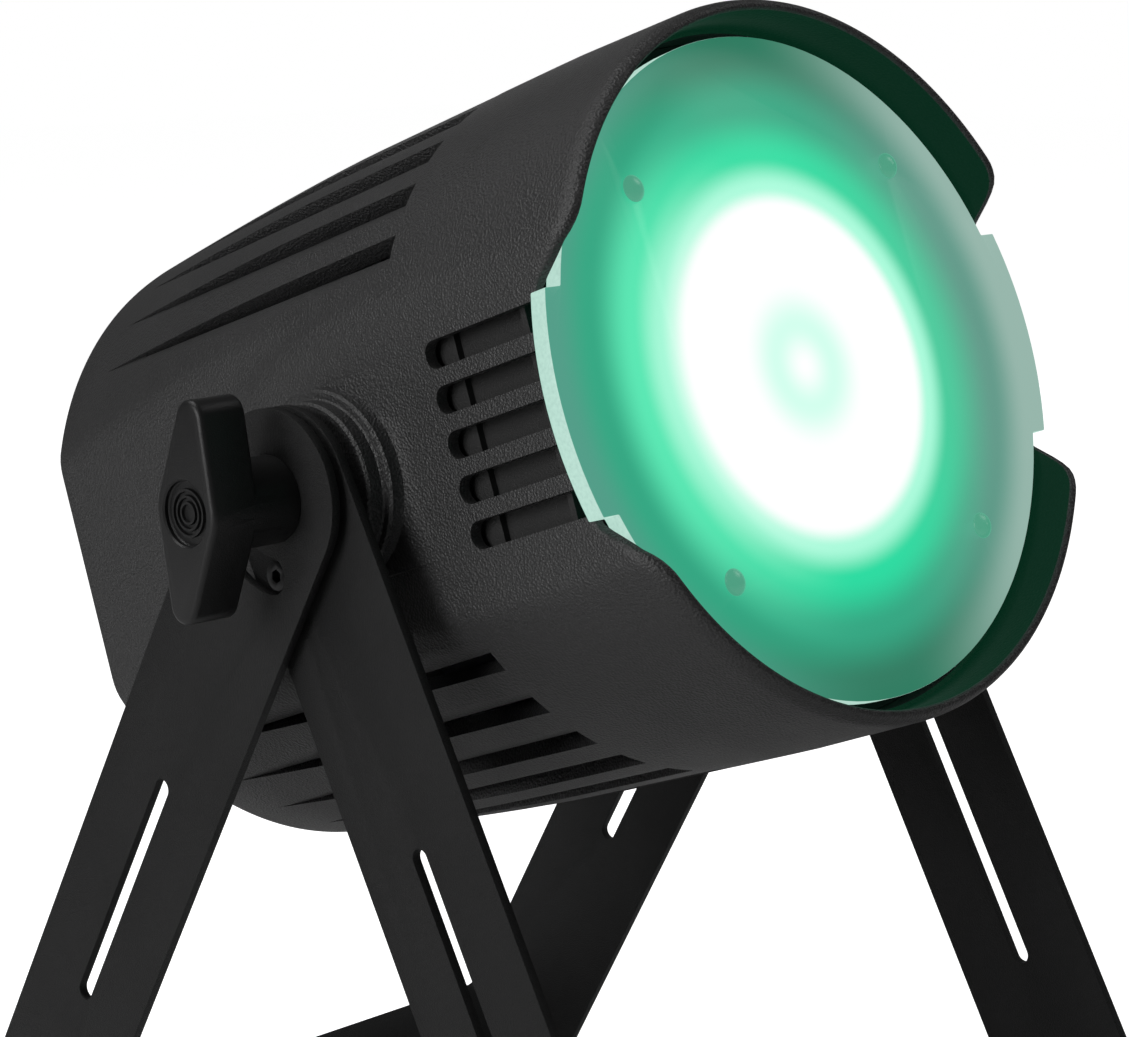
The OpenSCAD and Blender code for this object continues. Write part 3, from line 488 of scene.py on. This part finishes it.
def makeKnob(node, side):
    k = knob
    place = Matrix.Translation(pivot) @ sideFrame(side)
    grip = bmesh.new()
    prism(grip, spindleOutline(), k["handleFrom"], k["handleTo"], place)
    bmesh.ops.recalc_face_normals(grip, faces=grip.faces)
    rims = [e for e in grip.edges if len(e.link_faces) == 2 and e.calc_face_angle() > 1]
    bmesh.ops.bevel(grip, geom=rims, offset=k["round"] * mm, segments=4, profile=0.5, affect="EDGES",
                    material=-1)
    grip = cutterObject(node + "_body", grip)
    hub = bmesh.new()
    r, low, high = k["hubR"], k["hubFrom"], k["handleFrom"]
    lathe(hub, [(0, low), (r - 0.5, low), (r, low + 0.5), (r, high + 2), (0, high + 2)], place)
    combine(grip, cutterObject("hub", hub), "UNION")
    cut = bmesh.new()
    top = k["handleTo"]
    bottom = top - k["recessDeep"]
    profile = [(0, bottom), (1, bottom)]
    for ring in k["rings"]:
        outer, crest = ring + k["ringW"], bottom + k["ringH"]
        profile += [(ring, bottom), (ring + 0.15, crest), (outer, crest), (outer + 0.15, bottom)]
    wide = k["recessR"]
    profile += [(wide - 0.4, bottom), (wide, bottom + 0.4), (wide, top - 0.5)]
    profile += [(wide + 0.8, top + 0.4), (0, top + 0.4)]
    lathe(cut, profile, place)
    combine(grip, cutterObject("recess", cut), "DIFFERENCE")
    bore = bmesh.new()
    r, mouth, end = k["boreR"], low - 1, low + k["boreDeep"]
    lathe(bore, [(0, mouth), (r, mouth), (r, end), (0, end)], place, 48)
    combine(grip, cutterObject("bore", bore), "DIFFERENCE")
    smooth(grip, 30)
    takeOver(grip, materials["knob_plastic"], node)


# material helpers

def newMaterial(name, color, roughness, **more):
    mat = bpy.data.materials.new(name)
    mat.use_nodes = True
    shader = mat.node_tree.nodes["Principled BSDF"]
    shader.inputs["Base Color"].default_value = (*color, 1)
    shader.inputs["Roughness"].default_value = roughness
    for key, value in more.items():
        shader.inputs[key.replace("_", " ")].default_value = value
    return mat, mat.node_tree, shader


def addNode(tree, kind, **inputs):
    node = tree.nodes.new(kind)
    for key, value in inputs.items():
        node.inputs[key.replace("_", " ")].default_value = value
    return node


def mixColors(tree, factor, first, second):
    mix = tree.nodes.new("ShaderNodeMix")
    mix.data_type = "RGBA"
    tree.links.new(factor, mix.inputs["Factor"])
    for value, sock in ((first, mix.inputs["A"]), (second, mix.inputs["B"])):
        if isinstance(value, tuple):
            sock.default_value = (*value, 1)
        else:
            tree.links.new(value, sock)
    return mix.outputs["Result"]


def between(tree, value, low, high):
    step = addNode(tree, "ShaderNodeMapRange", From_Min=low, From_Max=high)
    step.interpolation_type = "SMOOTHSTEP"
    tree.links.new(value, step.inputs["Value"])
    return step.outputs["Result"]


def calculate(tree, operation, first, second):
    node = tree.nodes.new("ShaderNodeMath")
    node.operation = operation
    for value, sock in ((first, node.inputs[0]), (second, node.inputs[1])):
        if isinstance(value, (int, float)):
            sock.default_value = value
        else:
            tree.links.new(value, sock)
    return node.outputs[0]


def makeGroup(name, inputs, outputs):
    group = bpy.data.node_groups.new(name, "ShaderNodeTree")
    for key, kind, value in inputs:
        sock = group.interface.new_socket(key, in_out="INPUT", socket_type=kind)
        if value is not None:
            sock.default_value = value
    for key, kind in outputs:
        group.interface.new_socket(key, in_out="OUTPUT", socket_type=kind)
    return group, group.nodes.new("NodeGroupInput"), group.nodes.new("NodeGroupOutput")


def grainGroup():
    # leathery cells with finer noise over them: a bumped normal, a fleck mask and a slow cloud mask
    group, gin, gout = makeGroup(
        "paint grain",
        [("Cell Scale", "NodeSocketFloat", 900), ("Fine Scale", "NodeSocketFloat", 2500),
         ("Depth", "NodeSocketFloat", 0.3), ("Cell Share", "NodeSocketFloat", 0.6)],
        [("Normal", "NodeSocketVector"), ("Fleck", "NodeSocketFloat"), ("Cloud", "NodeSocketFloat")])
    links = group.links
    place = group.nodes.new("ShaderNodeTexCoord")
    cells = group.nodes.new("ShaderNodeTexVoronoi")
    cells.feature = "SMOOTH_F1"
    cells.inputs["Smoothness"].default_value = 0.6
    fine = addNode(group, "ShaderNodeTexNoise", Detail=3, Roughness=0.6)
    cloud = addNode(group, "ShaderNodeTexNoise", Scale=22, Detail=3)
    mix = group.nodes.new("ShaderNodeMix")
    bump = addNode(group, "ShaderNodeBump", Distance=0.8 * mm)
    for node in (cells, fine, cloud):
        links.new(place.outputs["Object"], node.inputs["Vector"])
    links.new(gin.outputs["Cell Scale"], cells.inputs["Scale"])
    links.new(gin.outputs["Fine Scale"], fine.inputs["Scale"])
    links.new(gin.outputs["Cell Share"], mix.inputs["Factor"])
    links.new(fine.outputs["Fac"], mix.inputs["A"])
    links.new(cells.outputs["Distance"], mix.inputs["B"])
    links.new(mix.outputs["Result"], bump.inputs["Height"])
    links.new(gin.outputs["Depth"], bump.inputs["Strength"])
    links.new(bump.outputs["Normal"], gout.inputs["Normal"])
    links.new(fine.outputs["Fac"], gout.inputs["Fleck"])
    links.new(cloud.outputs["Fac"], gout.inputs["Cloud"])
    return group


def paint(name, low, high, roughness, cellScale, fineScale, depth, cellShare=0.6, **more):
    # a painted or moulded surface: two close tones, grain in the normal, slow change in the gloss
    mat, tree, shader = newMaterial(name, low, roughness, **more)
    grainNode = tree.nodes.new("ShaderNodeGroup")
    grainNode.node_tree = grain
    grainNode.inputs["Cell Scale"].default_value = cellScale
    grainNode.inputs["Fine Scale"].default_value = fineScale
    grainNode.inputs["Depth"].default_value = depth
    grainNode.inputs["Cell Share"].default_value = cellShare
    tone = tree.nodes.new("ShaderNodeValToRGB")
    tone.color_ramp.elements[0].position, tone.color_ramp.elements[1].position = 0.42, 0.66
    tone.color_ramp.elements[0].color, tone.color_ramp.elements[1].color = (*low, 1), (*high, 1)
    gloss = addNode(tree, "ShaderNodeMapRange", From_Min=0.3, From_Max=0.7,
                    To_Min=roughness - 0.05, To_Max=roughness + 0.06)
    tree.links.new(grainNode.outputs["Fleck"], tone.inputs["Fac"])
    tree.links.new(tone.outputs["Color"], shader.inputs["Base Color"])
    tree.links.new(grainNode.outputs["Cloud"], gloss.inputs["Value"])
    tree.links.new(gloss.outputs["Result"], shader.inputs["Roughness"])
    tree.links.new(grainNode.outputs["Normal"], shader.inputs["Normal"])
    return mat


def headMapping(tree):
    # object coordinates turned into the head's own: x right, y up, z along the beam, from the pivot
    place = tree.nodes.new("ShaderNodeTexCoord")
    mapping = tree.nodes.new("ShaderNodeMapping")
    mapping.vector_type = "POINT"
    inverse = headFrame.inverted()
    mapping.inputs["Location"].default_value = inverse.translation
    mapping.inputs["Rotation"].default_value = inverse.to_euler()
    tree.links.new(place.outputs["Object"], mapping.inputs["Vector"])
    return mapping


makeCamera()
makeStudio()
print("camera and studio made")
grain = grainGroup()

# materials

materials = {
    "stand_steel": paint("black powder coat", (0.0022, 0.0022, 0.0023), (0.0052, 0.0052, 0.0054), 0.5,
                         1900, 3200, 0.6, 0.3, Specular_IOR_Level=0.27),
    "housing_cast": paint("black grained casting", (0.013, 0.013, 0.0133), (0.022, 0.022, 0.0224), 0.46,
                          1300, 2800, 0.6, 0.7),
    "screw_black": paint("blacked steel", (0.02, 0.02, 0.021), (0.03, 0.03, 0.03), 0.35,
                         2500, 5000, 0.1, Metallic=0.8),
    "screw_steel": paint("zinc plated screw", (0.5, 0.5, 0.51), (0.6, 0.6, 0.61), 0.32,
                         2500, 5000, 0.1, Metallic=1.0),
    "brass": paint("turned brass", (0.6, 0.42, 0.16), (0.68, 0.5, 0.22), 0.3,
                   2000, 5000, 0.08, Metallic=1.0),
    "friction_rubber": paint("black fibre", (0.01, 0.01, 0.01), (0.016, 0.016, 0.016), 0.7,
                             1500, 3500, 0.2),
    "spacer_nylon": paint("black nylon", (0.014, 0.014, 0.015), (0.02, 0.02, 0.021), 0.45,
                          1500, 3500, 0.08),
    "knob_plastic": paint("satin black moulding", (0.004, 0.004, 0.0042), (0.006, 0.006, 0.0062), 0.4,
                          2600, 5200, 0.12, Specular_IOR_Level=0.35),
    "spacer_steel": paint("turned steel", (0.55, 0.55, 0.56), (0.62, 0.62, 0.63), 0.3,
                          2500, 5000, 0.08, Metallic=1.0),
    "plate_black": paint("matt black sheet", (0.005, 0.005, 0.005), (0.009, 0.009, 0.009), 0.6,
                         1800, 3600, 0.2),
    "reflector_metal": paint("bright reflector", (0.8, 0.81, 0.82), (0.86, 0.87, 0.88), 0.18,
                             700, 3000, 0.1, Metallic=1.0),
    "holder_plastic": paint("white ceramic ring", (0.78, 0.77, 0.73), (0.84, 0.83, 0.8), 0.5,
                            1500, 3500, 0.1),
    "led": paint("led phosphor", (0.85, 0.75, 0.3), (0.9, 0.82, 0.4), 0.4,
                 1500, 3500, 0.1),
    "heat_sink_alu": paint("extruded aluminium", (0.5, 0.51, 0.52), (0.6, 0.61, 0.62), 0.4,
                           1500, 3500, 0.15, Metallic=1.0),
    "lead_red": paint("silicone lead", (0.4, 0.03, 0.02), (0.46, 0.04, 0.03), 0.5,
                      1800, 4000, 0.1),
    "fan_plastic": paint("fan moulding", (0.014, 0.014, 0.015), (0.02, 0.02, 0.02), 0.45,
                         1800, 4000, 0.1),
    "sheet_metal": paint("zinc plated sheet", (0.5, 0.51, 0.52), (0.6, 0.6, 0.61), 0.35,
                         900, 3000, 0.1, Metallic=1.0),
    "board_green": paint("circuit board", (0.012, 0.1, 0.04), (0.016, 0.13, 0.055), 0.35,
                         1500, 3500, 0.1),
    "cover_paint": paint("black rear cover", (0.016, 0.016, 0.017), (0.024, 0.024, 0.025), 0.5,
                         1700, 3200, 0.3, 0.4),
    "display_glass": paint("smoked display window", (0.004, 0.008, 0.01), (0.006, 0.01, 0.013), 0.08,
                           1500, 3500, 0.02),
    "button_plastic": paint("grey button moulding", (0.45, 0.46, 0.47), (0.5, 0.51, 0.52), 0.4,
                            1800, 4000, 0.08),
    "inlet_blue": paint("blue socket moulding", (0.012, 0.045, 0.25), (0.016, 0.06, 0.3), 0.4,
                        1800, 4000, 0.08),
    "outlet_grey": paint("grey socket moulding", (0.26, 0.265, 0.27), (0.32, 0.325, 0.33), 0.4,
                         1800, 4000, 0.08),
    "socket_black": paint("black socket moulding", (0.01, 0.01, 0.0105), (0.015, 0.015, 0.0155), 0.4,
                          1800, 4000, 0.1),
    "latch_metal": paint("plated latch", (0.55, 0.55, 0.56), (0.62, 0.62, 0.63), 0.28,
                         2500, 5000, 0.06, Metallic=1.0),
    "fuse_glass": paint("fuse body", (0.6, 0.62, 0.64), (0.68, 0.7, 0.72), 0.15,
                        2500, 5000, 0.04),
    "eye_steel": paint("zinc plated rod", (0.42, 0.43, 0.44), (0.5, 0.51, 0.52), 0.33,
                       1500, 4000, 0.1, Metallic=1.0),
}

glow = {
    "centre": (-4, 0, 0),          # mm, in the head's coordinates
    "reach": 99,                   # mm, where the ramps end
    "shades": {                    # of the light that comes through the sheet
        "white": (1, 1, 1), "pale": (0.65, 1, 0.85), "mint": (0.4, 0.95, 0.7),
        "bright": (0.1, 0.8, 0.45),
        "green": (0.02, 0.7, 0.35), "jade": (0.08, 0.55, 0.32), "leaf": (0.03, 0.38, 0.22),
        "deep": (0.03, 0.2, 0.12),
        "misty": (0.08, 0.33, 0.24), "grey": (0.12, 0.32, 0.25), "silver": (0.3, 0.46, 0.4),
    },
    # rings round the centre in mm: a white core with a faint ring, then upwards, to the right and to the left
    "core": [(0, "white"), (12, "pale"), (25, "white"), (47, "white")],
    "up": [(53, "mint"), (62, "green"), (77, "leaf"), (92, "deep")],
    "right": [(53, "mint"), (62, "jade"), (84, "grey"), (99, "silver")],
    "left": [(58, "mint"), (68, "bright"), (84, "leaf"), (98, "misty")],
    "sideFrom": 5, "sideTo": 80,   # mm either side of the middle where the side colours come in
    "rim": (0.5, 0.75, 0.65), "sawn": (0.35, 0.55, 0.48),  # the cut edge of the sheet, with the light leaking out of it painted on as glow
    "sawScale": (60, 900, 900), "edgeTilt": (0.75, 0.3),
    "sheet": (0.012, 0.016, 0.015), "frostScale": 1800,
}


def rampFrom(tree, rings, reach):
    ramp = tree.nodes.new("ShaderNodeValToRGB")
    ramp.color_ramp.interpolation = "EASE"
    marks = ramp.color_ramp.elements
    while len(marks) < len(rings):
        marks.new(0.5)
    for mark, (where, shade) in zip(marks, rings):
        mark.position = where / reach
        mark.color = (*glow["shades"][shade], 1)
    return ramp


def frostedDisc():
    mat, tree, shader = newMaterial("frosted lit disc", glow["sheet"], 0.38, Specular_IOR_Level=0.35)
    links = tree.links
    mapping = headMapping(tree)
    parts = tree.nodes.new("ShaderNodeSeparateXYZ")
    links.new(mapping.outputs[0], parts.inputs[0])
    flat = tree.nodes.new("ShaderNodeCombineXYZ")
    links.new(parts.outputs["X"], flat.inputs["X"])
    links.new(parts.outputs["Y"], flat.inputs["Y"])
    far = tree.nodes.new("ShaderNodeVectorMath")
    far.operation = "DISTANCE"
    far.inputs[1].default_value = Vector(glow["centre"]) * mm
    links.new(flat.outputs[0], far.inputs[0])
    share = calculate(tree, "DIVIDE", far.outputs["Value"], glow["reach"] * mm)
    lights = {}
    for name in ("up", "right", "left"):
        ramp = rampFrom(tree, glow["core"] + glow[name], glow["reach"])
        links.new(share, ramp.inputs["Fac"])
        lights[name] = ramp.outputs["Color"]
    toRight = between(tree, parts.outputs["X"], glow["sideFrom"] * mm, glow["sideTo"] * mm)
    toLeft = between(tree, parts.outputs["X"], -glow["sideFrom"] * mm, -glow["sideTo"] * mm)
    color = mixColors(tree, toRight, lights["up"], lights["right"])
    color = mixColors(tree, toLeft, color, lights["left"])
    # the cut edge, with fine saw marks across it, glowing with painted light from the lamp inside
    place = tree.nodes.new("ShaderNodeTexCoord")
    facing = tree.nodes.new("ShaderNodeVectorMath")
    facing.operation = "DOT_PRODUCT"
    facing.inputs[1].default_value = beam
    links.new(place.outputs["Normal"], facing.inputs[0])
    sideways = between(tree, calculate(tree, "ABSOLUTE", facing.outputs["Value"], 0), *glow["edgeTilt"])
    stripes = tree.nodes.new("ShaderNodeMapping")
    stripes.inputs["Scale"].default_value = glow["sawScale"]
    saw = addNode(tree, "ShaderNodeTexNoise", Scale=1, Detail=2)
    links.new(place.outputs["Object"], stripes.inputs["Vector"])
    links.new(stripes.outputs[0], saw.inputs["Vector"])
    marks = between(tree, saw.outputs["Fac"], 0.1, 1.3)
    rim = mixColors(tree, marks, glow["rim"], glow["sawn"])
    color = mixColors(tree, sideways, color, rim)
    links.new(color, shader.inputs["Emission Color"])
    shader.inputs["Emission Strength"].default_value = 1
    frost = addNode(tree, "ShaderNodeTexNoise", Scale=glow["frostScale"], Detail=3)
    bump = addNode(tree, "ShaderNodeBump", Strength=0.12, Distance=0.15 * mm)
    links.new(place.outputs["Object"], frost.inputs["Vector"])
    links.new(frost.outputs["Fac"], bump.inputs["Height"])
    links.new(bump.outputs["Normal"], shader.inputs["Normal"])
    return mat


def discScrew():
    mat = paint("screw dome with painted glow", (0.02, 0.05, 0.04), (0.03, 0.07, 0.055), 0.3, 1800, 4000, 0.05)
    shader = mat.node_tree.nodes["Principled BSDF"]
    # painted light: the green tint and the glow stand in for the lamp's light shining through the domes
    shader.inputs["Emission Color"].default_value = (0.07, 0.33, 0.21, 1)
    shader.inputs["Emission Strength"].default_value = 1
    return mat


materials["frosted_disc"] = frostedDisc()
materials["disc_screw"] = discScrew()
# painted light: the green tint and faint green glow stand in for the disc's light falling on the black inside of
# the hood
materials["hood_inside"] = paint("black hood with painted green glow", (0.001, 0.006, 0.004), (0.002, 0.01, 0.007), 0.6,
                                 1000, 2600, 0.4, 0.7, Specular_IOR_Level=0.1,
                                 Emission_Color=(0.0005, 0.017, 0.007, 1), Emission_Strength=1)
for node, obj in nodes.items():
    obj.data.materials.clear()
    obj.data.materials.append(materials[slots[node]])
print("materials made:", len(materials))

softening = {   # CAD nodes whose edges are rounded: width in mm, segments
    "inner_bracket": (0.6, 2), "outer_bracket": (0.6, 2),
    "diffuser": (0.8, 2), "diffuser_screws": (0.2, 2), "friction_discs": (0.5, 2), "spacer_washers": (0.4, 2),
    "stop_screws": (0.4, 2), "rear_cover": (0.4, 2),
}
for node, (width, segments) in softening.items():
    obj = softened(node + "_body", node, width * mm, segments)
    takeOver(obj, materials[slots[node]], node)
print("edges rounded on", len(softening), "nodes")

shell = makeHousing()
takeOver(shell, materials["housing_cast"], "body_shell")
shell.data.materials.append(materials["hood_inside"])
shell.data.materials.append(materials["plate_black"])
print("housing made:", len(shell.data.polygons), "faces")

makeKnob("knob_left", -1)
makeKnob("knob_right", 1)
print("knobs made")
